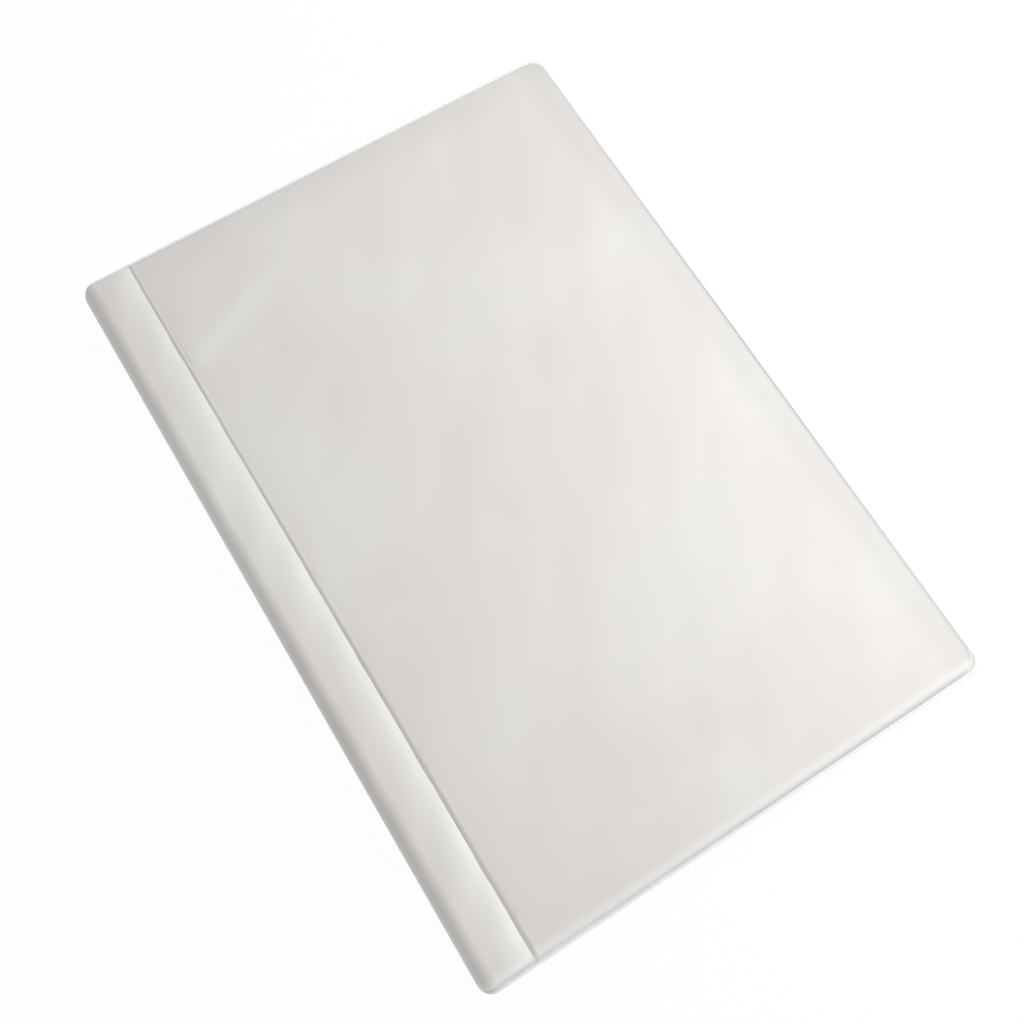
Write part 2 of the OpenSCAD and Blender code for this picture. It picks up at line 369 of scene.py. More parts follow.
def shell(name, outer, inner, material, sharp=SHARP, tone=None):
    """A closed sheet between two grids of the same size, with a tone at each point of a grid."""
    rows, columns = outer.shape[:2]
    count = rows * columns
    faces = grid_faces(rows, columns) + grid_faces(rows, columns, count, turn=True)
    border = list(range(columns))
    border += [i * columns + columns - 1 for i in range(1, rows)]
    border += [(rows - 1) * columns + j for j in range(columns - 2, -1, -1)]
    border += [i * columns for i in range(rows - 2, 0, -1)]
    for a, b in zip(border, border[1:] + border[:1]):
        faces.append((b, a, a + count, b + count))
    points = np.concatenate([outer.reshape(-1, 3), inner.reshape(-1, 3)])
    if tone is not None:
        tone = np.stack([tone, tone])
    return new_piece(name, points, faces, material, sharp, tone)


def tube(name, sections, material, sharp=SHARP, tone=None):
    """A closed solid through a row of closed sections of equal counts, with a tone at each point."""
    rows, columns = sections.shape[:2]
    faces = []
    for i in range(rows - 1):
        for j in range(columns):
            k = (j + 1) % columns
            a, b = i * columns, (i + 1) * columns
            faces.append((a + j, a + k, b + k, b + j))
    faces.append(tuple(range(columns))[::-1])
    faces.append(tuple((rows - 1) * columns + j for j in range(columns)))
    return new_piece(name, sections.reshape(-1, 3), faces, material, sharp, tone)


# Finishes

COLOUR_SOCKET = "NodeSocketColor"
VALUE_SOCKET = "NodeSocketFloat"

# Sockets of a Mix node, which go by number: its factor, then the two inputs and the result of each kind
FACTOR = 0
VALUE_A, VALUE_B, VALUE_OUT = 2, 3, 0
COLOUR_A, COLOUR_B, COLOUR_OUT = 6, 7, 2

FOAM_CELLS = 1400.0
FOAM_ROUGHNESS = 0.95
BOARD_FIBRES = (300.0, 1500.0, 1500.0)
BOARD_ROUGHNESS = 0.9
FILM_RELIEF = 0.2 * MM
FOAM_RELIEF = 0.3 * MM
BOARD_RELIEF = 0.1 * MM


def node_group(name, inputs, outputs):
    """A new shader group with its named sockets, and its input and output nodes."""
    group = bpy.data.node_groups.new(name, "ShaderNodeTree")
    for label, default in inputs.items():
        kind = VALUE_SOCKET if isinstance(default, float) else COLOUR_SOCKET
        socket = group.interface.new_socket(label, in_out="INPUT", socket_type=kind)
        socket.default_value = default
    for label, kind in outputs.items():
        group.interface.new_socket(label, in_out="OUTPUT", socket_type=kind)
    return group, group.nodes.new("NodeGroupInput"), group.nodes.new("NodeGroupOutput")


def new_material(name):
    """A new material, its node tree and its shader."""
    material = bpy.data.materials.new(name)
    material.use_nodes = True
    return material, material.node_tree, material.node_tree.nodes["Principled BSDF"]


def add(tree, kind, values=None, **settings):
    """A node with its settings and the values of its unlinked inputs."""
    node = tree.nodes.new(kind)
    for key, value in settings.items():
        setattr(node, key, value)
    for key, value in (values or {}).items():
        node.inputs[key].default_value = value
    return node


def wire(tree, *links):
    """Link nodes: each link gives a node and its output, then a node and its input."""
    for source, output, target, socket in links:
        tree.links.new(source.outputs[output], target.inputs[socket])


def opaque(rgb):
    """A colour with full alpha."""
    return (*rgb, 1.0)


def grey(level):
    """An opaque grey."""
    return (level, level, level, 1.0)


def haze_group():
    """Soft clouds in the colour of a milky film."""
    if "milky_haze" in bpy.data.node_groups:
        return bpy.data.node_groups["milky_haze"]
    group, start, end = node_group(
        "milky_haze",
        {"Light": grey(0.8), "Shade": grey(0.7), "Scale": 18.0},
        {"Color": COLOUR_SOCKET})
    place = add(group, "ShaderNodeTexCoord")
    clouds = add(group, "ShaderNodeTexNoise", {"Detail": 3.0, "Roughness": 0.45, "Distortion": 0.6})
    spread = add(
        group, "ShaderNodeMapRange", {"From Min": 0.3, "From Max": 0.7}, interpolation_type="SMOOTHSTEP")
    mix = add(group, "ShaderNodeMix", data_type="RGBA")
    wire(
        group,
        (place, "Object", clouds, "Vector"),
        (start, "Scale", clouds, "Scale"),
        (clouds, "Fac", spread, "Value"),
        (spread, "Result", mix, FACTOR),
        (start, "Shade", mix, COLOUR_A),
        (start, "Light", mix, COLOUR_B),
        (mix, COLOUR_OUT, end, "Color"))
    return group


def grain_group():
    """The fine satin grain of rolled vinyl over a slower orange peel, as a height and as a roughness."""
    if "satin_grain" in bpy.data.node_groups:
        return bpy.data.node_groups["satin_grain"]
    group, start, end = node_group(
        "satin_grain",
        {"Grain Scale": 2600.0, "Peel Scale": 260.0, "Peel Share": 0.6, "Roughness": 0.4,
         "Roughness Spread": 0.08},
        {"Height": VALUE_SOCKET, "Roughness": VALUE_SOCKET})
    place = add(group, "ShaderNodeTexCoord")
    grain = add(group, "ShaderNodeTexNoise", {"Detail": 2.0, "Roughness": 0.5})
    peel = add(group, "ShaderNodeTexNoise", {"Detail": 1.0, "Roughness": 0.4})
    mix = add(group, "ShaderNodeMix", data_type="FLOAT")
    wander = add(group, "ShaderNodeMath", {1: 0.5}, operation="SUBTRACT")
    rough = add(group, "ShaderNodeMath", operation="MULTIPLY_ADD", use_clamp=True)
    wire(
        group,
        (place, "Object", grain, "Vector"),
        (place, "Object", peel, "Vector"),
        (start, "Grain Scale", grain, "Scale"),
        (start, "Peel Scale", peel, "Scale"),
        (start, "Peel Share", mix, FACTOR),
        (grain, "Fac", mix, VALUE_A),
        (peel, "Fac", mix, VALUE_B),
        (mix, VALUE_OUT, end, "Height"),
        (peel, "Fac", wander, 0),
        (wander, "Value", rough, 0),
        (start, "Roughness Spread", rough, 1),
        (start, "Roughness", rough, 2),
        (rough, "Value", end, "Roughness"))
    return group


def tone_group():
    """A film's colour with painted light and painted shade: whiter or darker by the tone of its mesh."""
    if "film_tone" in bpy.data.node_groups:
        return bpy.data.node_groups["film_tone"]
    # White is the colour of painted light and Bare the colour of painted shade
    group, start, end = node_group(
        "film_tone",
        {"Color": grey(0.7), "White": grey(0.86), "Bare": grey(0.6)},
        {"Color": COLOUR_SOCKET})
    tone = add(group, "ShaderNodeAttribute", attribute_name=TONE)
    fall = add(group, "ShaderNodeMath", {1: -1.0}, operation="MULTIPLY")
    whiten = add(group, "ShaderNodeMix", data_type="RGBA")
    darken = add(group, "ShaderNodeMix", data_type="RGBA")
    wire(
        group,
        (tone, "Fac", whiten, FACTOR),
        (start, "Color", whiten, COLOUR_A),
        (start, "White", whiten, COLOUR_B),
        (tone, "Fac", fall, 0),
        (fall, "Value", darken, FACTOR),
        (whiten, COLOUR_OUT, darken, COLOUR_A),
        (start, "Bare", darken, COLOUR_B),
        (darken, COLOUR_OUT, end, "Color"))
    return group


def film_material(
        name, light, shade, roughness, haze_scale=18.0, bump=0.06, peel=0.6, white=None, alpha=1.0):
    """A vinyl film: hazy colour, painted light and shade from its mesh's tone, satin roughness and a fine
    pressed grain.
    """
    if name in bpy.data.materials:
        return bpy.data.materials[name]
    c = colours()
    material, tree, shader = new_material(name)
    clouds = {"Light": opaque(light), "Shade": opaque(shade), "Scale": haze_scale}
    haze = add(tree, "ShaderNodeGroup", clouds, node_tree=haze_group())
    satin = {"Roughness": roughness, "Peel Share": peel}
    grain = add(tree, "ShaderNodeGroup", satin, node_tree=grain_group())
    relief = add(tree, "ShaderNodeBump", {"Strength": bump, "Distance": FILM_RELIEF})
    shader.inputs["Alpha"].default_value = alpha
    # Colours of the painted light and painted shade that the mesh's tone mixes in
    tones = {"White": opaque(white or c.vinyl_painted_light), "Bare": opaque(c.vinyl_painted_shade)}
    tone = add(tree, "ShaderNodeGroup", tones, node_tree=tone_group())
    wire(
        tree,
        (haze, "Color", tone, "Color"),
        (tone, "Color", shader, "Base Color"),
        (grain, "Roughness", shader, "Roughness"),
        (grain, "Height", relief, "Height"),
        (relief, "Normal", shader, "Normal"))
    return material


def outer_vinyl():
    """The satin film on the outside."""
    c = colours()
    return film_material("milky_film", c.vinyl_light, c.vinyl_shade, c.vinyl_roughness)


def groove_vinyl():
    """The outer film where it is pressed into a hinge groove."""
    c = colours()
    return film_material(
        "groove_film", c.vinyl_light, c.vinyl_shade, c.vinyl_roughness, bump=0.1, peel=0.3)


def welded_vinyl():
    """The fused films of the rims and the spine's ends."""
    c = colours()
    return film_material(
        "fused_film", c.weld, c.weld_shade, roughness=0.34, haze_scale=90.0, bump=0.12, peel=0.3,
        white=c.weld_painted_light)


def lining_vinyl():
    """The lining film."""
    c = colours()
    return film_material(
        "lining_film", c.lining_light, c.lining_shade, roughness=0.45, haze_scale=25.0, bump=0.1)


def pocket_vinyl():
    """The clear film of the pockets."""
    c = colours()
    return film_material(
        "pocket_film", c.pocket, c.pocket, roughness=0.16, haze_scale=30.0, bump=0.03, peel=0.9,
        alpha=c.pocket_alpha)


def foam_material():
    """Fine open-cell foam."""
    if "padding_foam" in bpy.data.materials:
        return bpy.data.materials["padding_foam"]
    c = colours()
    material, tree, shader = new_material("padding_foam")
    place = add(tree, "ShaderNodeTexCoord")
    cells = add(tree, "ShaderNodeTexVoronoi", {"Scale": FOAM_CELLS})
    pair = {COLOUR_A: opaque(c.foam_pore), COLOUR_B: opaque(c.foam)}
    mix = add(tree, "ShaderNodeMix", pair, data_type="RGBA")
    relief = add(tree, "ShaderNodeBump", {"Strength": 0.5, "Distance": FOAM_RELIEF})
    shader.inputs["Roughness"].default_value = FOAM_ROUGHNESS
    wire(
        tree,
        (place, "Object", cells, "Vector"),
        (cells, "Distance", mix, FACTOR),
        (mix, COLOUR_OUT, shader, "Base Color"),
        (cells, "Distance", relief, "Height"),
        (relief, "Normal", shader, "Normal"))
    return material


def board_material():
    """Grey board with short fibres."""
    if "grey_board" in bpy.data.materials:
        return bpy.data.materials["grey_board"]
    c = colours()
    material, tree, shader = new_material("grey_board")
    place = add(tree, "ShaderNodeTexCoord")
    stretch = add(tree, "ShaderNodeMapping", {"Scale": BOARD_FIBRES})
    fibres = add(tree, "ShaderNodeTexNoise", {"Scale": 1.0, "Detail": 6.0, "Roughness": 0.7})
    pair = {COLOUR_A: opaque(c.board_fibre), COLOUR_B: opaque(c.board)}
    mix = add(tree, "ShaderNodeMix", pair, data_type="RGBA")
    relief = add(tree, "ShaderNodeBump", {"Strength": 0.25, "Distance": BOARD_RELIEF})
    shader.inputs["Roughness"].default_value = BOARD_ROUGHNESS
    wire(
        tree,
        (place, "Object", stretch, "Vector"),
        (stretch, "Vector", fibres, "Vector"),
        (fibres, "Fac", mix, FACTOR),
        (mix, COLOUR_OUT, shader, "Base Color"),
        (fibres, "Fac", relief, "Height"),
        (relief, "Normal", shader, "Normal"))
    return material


# Covers

# The crease: its two ends in the plan, its width, and how fast it fades at each end
CREASE_FROM = (15 * MM, 70 * MM)
CREASE_TO = (61 * MM, 91 * MM)
CREASE_WIDTH = 3.2 * MM
CREASE_FADES = (8, 1.6)

# Painted light and shade along a weld, in widths of its painted highlight line: how far the painted tone of
# its foot reaches, where the painted highlight line lies, how wide that is, and over how far the painted
# shade band comes in
FOOT_REACH = 1.1
PAINTED_HIGHLIGHT_AT = 1.4
PAINTED_HIGHLIGHT_WIDTH = 0.8
PAINTED_SHADE_RISE = 2
# Share of the painted shade band over which it is darkest, before it fades
PAINTED_SHADE_FULL = 1 / 3

# The waves of a padded film die away towards its edges with this power of its height
WAVE_HOLD = 3

# Foam: its distance from the film in eases, and the coarseness of its mesh
FOAM_EASES = 4
FOAM_STEPS = 3

# Inner films: points over a corner, where the welds hold them flat, and how fast a mouth closes
CORNER_COUNT = 7
LINING_HOLD = 8 * MM
POCKET_HOLD = 20 * MM
MOUTH_REACH = 25 * MM


def crease(x, y):
    """A faint ridge across the upper corner of the front cover, fading at its ends."""
    start, stop = Vector(CREASE_FROM), Vector(CREASE_TO)
    way = stop - start
    along = ((x - start.x) * way.x + (y - start.y) * way.y) / way.length_squared
    off = ((x - start.x) * way.y - (y - start.y) * way.x) / way.length
    fade = smooth_step(along * CREASE_FADES[0]) * smooth_step((1 - along) * CREASE_FADES[1])
    return np.exp(-((off / CREASE_WIDTH) ** 2)) * fade


# At each edge: painted light or shade at its foot, and its shares of the painted highlight and the painted
# shade
# The fore-edge's foot has painted shade, the bottom edge's foot painted light, the top's a little shade
FORE_TONES = (-0.9, 0.15, 1.2)
TOP_TONES = (-0.1, 0.0, 0.3)
BOTTOM_TONES = (0.9, 0.7, 0.1)


def edge_tone(*edges):
    """Painted tone of the film by its distances to welds: a painted highlight line and a painted shade band.
    """
    s = sizes()
    foot, white, painted_shade_band = 0.0, 0.0, 0.0
    for inward, (foot_tone, painted_highlight_share, painted_shade_share) in edges:
        widths = inward / s.painted_line_width
        at_foot = np.exp(-((widths / FOOT_REACH) ** 2))
        near = np.exp(-(((widths - PAINTED_HIGHLIGHT_AT) / PAINTED_HIGHLIGHT_WIDTH) ** 2))
        gone = smooth_step((inward / s.painted_shade_band - PAINTED_SHADE_FULL) / (1 - PAINTED_SHADE_FULL))
        band = smooth_step(widths / PAINTED_SHADE_RISE) * (1 - gone)
        foot = foot + foot_tone * at_foot
        white = np.maximum(white, painted_highlight_share * near)
        painted_shade_band = np.maximum(painted_shade_band, painted_shade_share * band)
    return foot + s.painted_highlight_tone * white - s.painted_shade_tone * painted_shade_band


def panel_grid(side, shrink, step):
    """The surface of a padded cover, drawn in by shrink, as points of the plan, and its painted light and
    shade.
    """
    s = sizes()
    x0 = COVER_EDGE + s.groove_room + shrink
    x1, y1 = (edge + s.edge_over - shrink for edge in (PANEL_EDGE, PANEL_HALF_L))
    edge = lead(s.edge_wall, s.edge_crown)
    at_groove = lead(s.groove_wall, s.groove_crown)
    across = graded(x0, x1, at_groove, edge, round((PANEL_EDGE - COVER_EDGE) / step))
    along = graded(-y1, y1, edge, edge, round(2 * PANEL_HALF_L / step))
    x, y = np.meshgrid(across, along)
    # Painted highlight and painted shade along the three welded edges
    tone = edge_tone((x1 - x, FORE_TONES), (y1 - y, TOP_TONES), (y1 + y, BOTTOM_TONES))
    foot = max(s.web_at_cover - shrink, 0) / (RISE - shrink)
    form = foot + (1 - foot) * bank(x - x0, s.groove_wall, s.groove_crown, s.groove_crown_share)
    for inward in (x1 - x, y1 - np.abs(y)):
        form = form * bank(inward, s.edge_wall, s.edge_crown, s.edge_crown_share)
    uneven = s.wave * waves(x, y, PHASES[side])
    if side == "front":
        streak = crease(x, y)
        uneven = uneven + s.crease * streak
        # A painted highlight along the crease's ridge
        tone = tone + s.crease_painted_highlight * streak
    else:
        uneven = np.minimum(uneven, 0)
    h = RIM_TOP_H + (RISE - shrink) * form + uneven * form ** WAVE_HOLD
    x, y = round_corners(x, y, x1, y1, s.panel_corner - shrink)
    return (x, y, h), tone


class WALLET_OT_panel_skins(bpy.types.Operator):
    """Stretch the outer film over both padded covers"""
    bl_idname = "wallet.panel_skins"
    bl_label = "Cover films"

    def execute(self, context):
        s = sizes()
        for side in SIDES:
            plan, tone = panel_grid(side, 0.0, s.grid)
            inner_plan, _ = panel_grid(side, s.film, s.grid)
            outer = on_side(side, *plan)
            inner = on_side(side, *inner_plan)
            skin = shell(f"{side}_panel_skin", outer, inner, outer_vinyl(), SKIN_SHARP, tone)
            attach(skin, f"{side}_cover")
            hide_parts(f"{side}_outer_sheet")
        return {"FINISHED"}


class WALLET_OT_cover_foam(bpy.types.Operator):
    """Lay the foam between the board and the outer film of both covers"""
    bl_idname = "wallet.cover_foam"
    bl_label = "Cover foam"

    def execute(self, context):
        s = sizes()
        for side in SIDES:
            (x, y, h), _ = panel_grid(side, s.film + FOAM_EASES * s.ease, FOAM_STEPS * s.grid)
            room = 2 * s.ease
            over = (x > BOARD_LOW.x - SPINE_X - room) & (x < BOARD_HIGH.x - SPINE_X + room)
            over = over & (np.abs(y) < BOARD_HIGH.y + room)
            low = np.where(over, BOARD_TOP_H + s.ease, RIM_TOP_H + s.ease / 2)
            top = on_side(side, x, y, np.maximum(h, low + s.ease / 2))
            under = on_side(side, x, y, low)
            foam = shell(f"{side}_foam", top, under, foam_material())
            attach(foam, f"{side}_cover")
            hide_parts(f"{side}_foam_pad")
        return {"FINISHED"}


class WALLET_OT_boards(bpy.types.Operator):
    """Give the stiffening boards their fibrous finish"""
    bl_idname = "wallet.boards"
    bl_label = "Boards"

    def execute(self, context):
        for side in SIDES:
            board = frame["nodes"][f"{side}_board"]
            board.data.materials.clear()
            board.data.materials.append(board_material())
        return {"FINISHED"}


def film_sheet(side, name, x0, low, high, drop, material):
    """A film between two heights of one cover's plan, lowered by what the function drop gives."""
    s = sizes()
    edge = np.linspace(0, s.panel_corner, CORNER_COUNT)
    across = graded(x0, PANEL_EDGE, edge, edge, round((PANEL_EDGE - x0) / (2 * s.grid)))
    along = graded(-PANEL_HALF_L, PANEL_HALF_L, edge, edge, round(PANEL_HALF_L / s.grid))
    x, y = np.meshgrid(across, along)
    lower = drop(x, y)
    x, y = round_corners(x, y, PANEL_EDGE, PANEL_HALF_L, s.panel_corner)
    outer = on_side(side, x, y, high - lower)
    inner = on_side(side, x, y, low - lower)
    return shell(name, outer, inner, material)


class WALLET_OT_linings(bpy.types.Operator):
    """Line both covers"""
    bl_idname = "wallet.linings"
    bl_label = "Linings"

    def execute(self, context):
        s = sizes()

        def drop(x, y):
            held = 1.0
            for inward in (PANEL_EDGE - x, x - COVER_EDGE, PANEL_HALF_L - np.abs(y)):
                held = held * smooth_step(inward / LINING_HOLD)
            return s.sheet_wave * held * (0.5 + 0.5 * waves(x, y, PHASES["lining"]))

        for side in SIDES:
            lining = film_sheet(side, f"{side}_lining", COVER_EDGE, LINER_H, RIM_TOP_H, drop, lining_vinyl())
            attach(lining, f"{side}_cover")
            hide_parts(f"{side}_liner_sheet")
        return {"FINISHED"}


class WALLET_OT_pockets(bpy.types.Operator):
    """Weld a clear pocket film inside each cover, open towards the spine"""
    bl_idname = "wallet.pockets"
    bl_label = "Pockets"

    def execute(self, context):
        s = sizes()

        def drop(x, y):
            across = 1 - (y / PANEL_HALF_L) ** 2
            mouth = np.exp(-(x - POCKET_MOUTH) / MOUTH_REACH)
            held = smooth_step((PANEL_EDGE - x) / POCKET_HOLD)
            ripple = s.sheet_wave * (0.5 + 0.5 * waves(x, y, PHASES["pocket"])) * held
            return across * (s.mouth_lift * mouth + 0.5 * ripple)

        for side in SIDES:
            pocket = film_sheet(
                side, f"{side}_pocket", POCKET_MOUTH, INNER_H, POCKET_TOP_H, drop, pocket_vinyl())
            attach(pocket, f"{side}_cover")
            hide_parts(f"{side}_pocket_sheet")
        return {"FINISHED"}


# Welded rims: a section runs from the padded edge (share 0) to the cut edge (share 1)

# How dark the painted shade along the pressed line is at the top and the bottom edge, where it is 1 at the
# fore-edge
TRENCH_PAINTED_SHADE_TOP = 0.2
TRENCH_PAINTED_SHADE_BOTTOM = 0.15
# Mesh of a rim: points to a rib, and round a corner
RIB_COUNT = 4
ARC_COUNT = 16


def rim_section():
    """Shares of the way out, heights below the top face, and how much of the ribs each point takes."""
    s = sizes()
    deep = RIM_TOP_H - INNER_H
    return (
        (0.0, 0.5 * s.trench, 0), (0.3, 0.5 * s.trench, 0), (0.36, s.trench, 0), (0.6, s.trench, 0),
        (0.68, 0.2 * s.trench, 0), (0.74, 0.0, 1), (0.81, 0.0, 1), (0.88, 0.0, 1), (0.95, 0.07 * deep, 0),
        (1.0, 0.3 * deep, 0), (1.0, 0.7 * deep, 0), (0.96, 0.95 * deep, 0), (0.9, deep, 0), (0.0, deep, 0),
    )


def rim_tone(x_out, y_out):
    """Painted tones of sections that face out along x_out, y_out: painted shade on the pressed line, painted
    light at the top edge.
    """
    s = sizes()
    pressed = np.array([below == s.trench for _, below, _ in rim_section()])
    up, down = np.clip(y_out, 0, 1) ** 2, np.clip(-y_out, 0, 1) ** 2
    # Painted shade along the pressed line, darkest at the fore-edge; painted light on the rest of the rim at
    # the top edge
    clear = s.trench_painted_shade * (np.asarray(x_out) ** 2 + TRENCH_PAINTED_SHADE_TOP * up + TRENCH_PAINTED_SHADE_BOTTOM * down)
    return np.where(pressed, -np.expand_dims(clear, -1), np.expand_dims(up, -1))


def rim_outline(x1, y1, radius, side_steps, end_steps, arc_steps):
    """Points round three sides of a cover, from the groove at the top to the groove at the bottom."""
    quarter = np.linspace(0, math.pi / 2, arc_steps)[1:-1]
    top = np.linspace(COVER_EDGE, x1 - radius, side_steps)
    end = np.linspace(y1 - radius, radius - y1, end_steps)
    x = np.concatenate([
        top, x1 - radius + radius * np.sin(quarter), np.full(end_steps, x1),
        x1 - radius + radius * np.cos(quarter), top[::-1]])
    y = np.concatenate([
        np.full(side_steps, y1), y1 - radius + radius * np.cos(quarter), end,
        radius - y1 - radius * np.sin(quarter), np.full(side_steps, -y1)])
    return x, y


class WALLET_OT_rims(bpy.types.Operator):
    """Press the flat welded rim round three sides of both covers"""
    bl_idname = "wallet.rims"
    bl_label = "Welded rims"

    def execute(self, context):
        s = sizes()
        step = s.rib_pitch / RIB_COUNT
        counts = (int((FORE_EDGE - COVER_EDGE) / step), int(2 * HALF_L / step), ARC_COUNT)
        inner_x, inner_y = rim_outline(PANEL_EDGE, PANEL_HALF_L, s.panel_corner, *counts)
        outer_x, outer_y = rim_outline(FORE_EDGE, HALF_L, s.rim_corner, *counts)
        run = np.concatenate([[0], np.cumsum(np.hypot(np.diff(outer_x), np.diff(outer_y)))])
        ribs = s.rib * np.cos(2 * math.pi * run / s.rib_pitch)
        width = np.hypot(outer_x - inner_x, outer_y - inner_y)
        # Painted shade along the pressed line and painted light along the top edge
        tone = rim_tone((outer_x - inner_x) / width, (outer_y - inner_y) / width)
        for side in SIDES:
            loops = []
            for out, below, ribbed in rim_section():
                x = inner_x + (outer_x - inner_x) * out
                y = inner_y + (outer_y - inner_y) * out
                loops.append(on_side(side, x, y, RIM_TOP_H - below + ribbed * (ribs - s.rib)))
            rim = tube(f"{side}_rim", np.stack(loops, axis=1), welded_vinyl(), RIM_SHARP, tone)
            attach(rim, f"{side}_cover")
            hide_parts(f"{side}_rim_weld")
        return {"FINISHED"}


# Hinge grooves: a web climbs from the foot of the spine to the edge of the padded cover

# How soon the web climbs, its points over the weld and over the room beside it, and the part of a
# rim's section that its two ends have
CLIMB_POWER = 1.3
WELD_COUNT = 12
ROOM_COUNT = 8
FLANGE = slice(2, 10)


def along_groove(at_top, at_bottom, y):
    """A size of a groove, which is shallower and narrower at its top than at its bottom."""
    return at_top + (at_bottom - at_top) * smooth_step(0.5 - y / (2 * HALF_L))


def groove_foot(y):
    """Height of the bottom of a groove above the rim."""
    s = sizes()
    return s.web_at_cover - along_groove(s.depth_top, s.depth_bottom, y)


class WALLET_OT_groove_webs(bpy.types.Operator):
    """Lay the film of each hinge groove, from the spine's foot up to the cover"""
    bl_idname = "wallet.groove_webs"
    bl_label = "Hinge grooves"

    def execute(self, context):
        s = sizes()
        # Rows along the groove: a flange at each end and the padded length between them
        out, below, _ = np.array(rim_section()[FLANGE]).T
        flange_y = PANEL_HALF_L + (HALF_L - PANEL_HALF_L) * out
        end = lead(s.end_wall, s.end_crown)
        padded_end = PANEL_HALF_L + s.edge_over
        inner_y = graded(-padded_end, padded_end, end, end, round(2 * PANEL_HALF_L / s.grid))
        along = np.concatenate([-flange_y[::-1], inner_y, flange_y])
        sunk = np.concatenate([below[::-1], np.full(len(inner_y), 0.5 * s.trench), below])
        # Columns across it: over the weld, then over the room beside the cover
        weld = COVER_EDGE - STRIP_EDGE
        width = weld + s.groove_room
        over_weld = np.linspace(0, weld - s.ease / 2, WELD_COUNT)
        over_room = np.linspace(weld, width, ROOM_COUNT)
        x, y = np.meshgrid(STRIP_EDGE + np.concatenate([over_weld, over_room]), along)
        # Heights of the two faces, flat on the flanges
        inward = np.maximum(padded_end - np.abs(y), 0)
        full = bank(inward, s.end_wall, s.end_crown, s.end_crown_share)
        over_x = STRIP_EDGE + s.strip_over + (x - STRIP_EDGE) * (1 - s.strip_over / width)
        way = (over_x - STRIP_EDGE - s.strip_over) / along_groove(s.band_top, s.band_bottom, y)
        left_to_climb = np.clip(1 - way, 0, 1)
        raised = s.web_at_cover - (s.web_at_cover - groove_foot(y)) * left_to_climb ** CLIMB_POWER
        upper = RIM_TOP_H + raised * full - sunk[:, None] * (1 - full)
        lower = np.where(x < COVER_EDGE, LINER_H - s.web_sag, RIM_TOP_H + s.ease)
        lower = np.where(inward > 0, lower, INNER_H)
        # Painted tones: the rim's on the flanges, with full painted light where it has none, and the padded
        # films' between them
        on_rim = rim_tone(0.0, -1.0)[FLANGE]
        tone = np.concatenate([on_rim[::-1], np.zeros(len(inner_y)), on_rim])[:, None] + 0 * x
        # Full painted light on the flanges where the rim's tone is none
        tone = np.where((inward == 0) & (tone == 0), 1.0, tone)
        on_web = edge_tone((padded_end - y, TOP_TONES), (padded_end + y, BOTTOM_TONES))
        tone = np.where(inward > 0, on_web, tone)
        # The upper face starts under the spine's overhang, and the flanges are as wide as the weld
        on_flange = STRIP_EDGE + (x - STRIP_EDGE) * weld / width
        upper_x, lower_x = (np.where(inward > 0, inner_x, on_flange) for inner_x in (over_x, x))
        for side in SIDES:
            faces = on_side(side, upper_x, y, upper), on_side(side, lower_x, y, lower)
            web = shell(f"{side}_groove_web", *faces, groove_vinyl(), tone=tone)
            tuple(on_side(side, STRIP_EDGE, 0.0, RIM_TOP_H))
            tuple(on_side(side, COVER_EDGE, 0.0, RIM_TOP_H))
            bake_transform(web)
            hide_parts(f"{side}_hinge_weld")
        return {"FINISHED"}


# Spine: a path runs from the front groove over the strip, round the roll and back to the rear groove

# Points round half of the roll and along the flat of the strip
ROLL_COUNT = 20
FLAT_COUNT = 4
# Height on each side of the fold over which the two halves run into each other
JOIN_ZONE = 2.5 * MM
# The painted highlight on the spine's ridge beside a groove: how far in it lies, and its width
RIDGE_IN = 0.9 * MM
RIDGE_WIDTH = 1.2 * MM
# How soon the strip crowns from a groove, how much closer its waves are, and how far a corner's cut
# reaches along the spine, in radii
STRIP_CROWN_POWER = 2.5
STRIP_WAVES = (1.5, 1.3)
CUT_REACH = 3


def whole_path(x, h):
    """Both halves of the spine from the profile of one, which runs from the groove to the fold."""
    x = np.concatenate([x, x[..., -2::-1]], axis=-1)
    h = np.concatenate([h, -h[..., -2::-1]], axis=-1)
    return x, h, smooth_step((h / JOIN_ZONE + 1) / 2)


def strip_path(left, r, edge, foot):
    """The padded profile: up the bank from its foot at the groove, along the strip and round the roll."""
    s = sizes()
    left, r, foot = (np.asarray(value)[..., None] for value in (left, r, foot))
    way_in = lead(s.strip_wall, s.strip_crown)
    form = bank(way_in, s.strip_wall, s.strip_crown, s.strip_crown_share, STRIP_CROWN_POWER)
    foot_h = foot + (r - foot) * form
    wide = s.roll_width * r / ROLL_R
    t = np.linspace(0, 1, FLAT_COUNT + 2)[1:-1]
    flat_x = (edge - s.strip_crown) * (1 - t) + (left + wide) * t
    turn = np.linspace(math.pi / 2, 0, ROLL_COUNT)
    roll_x = left + wide - wide * np.cos(turn)
    return whole_path(
        np.concatenate([edge - way_in + 0 * r, flat_x, roll_x], axis=-1),
        np.concatenate([foot_h, r + 0 * t, r * np.sin(turn)], axis=-1))


def lining_path(r, reach=0.0):
    """The path of the lining and of the end welds at a height r, with as many points as the strip's."""
    s = sizes()
    t = np.linspace(0, 1, len(lead(s.strip_wall, s.strip_crown)) + FLAT_COUNT + 1)[:-1]
    flat_x = STRIP_EDGE + (LINER_ROLL_X - STRIP_EDGE) * t
    turn = np.linspace(math.pi / 2, 0, ROLL_COUNT)
    return whole_path(
        np.concatenate([flat_x, LINER_ROLL_X - (r + reach) * np.cos(turn)]),
        np.concatenate([r + 0 * t, r * np.sin(turn)]))


def cut_corner(x, along, end, radius):
    """Places along the spine, drawn in near an end where its corners are rounded."""
    gone = np.clip((radius - x) / radius, 0, 1)
    near = smooth_step(1 - (end - np.abs(along)) / (CUT_REACH * radius))
    return along - np.sign(along) * near * radius * (1 - np.sqrt(1 - gone ** 2))


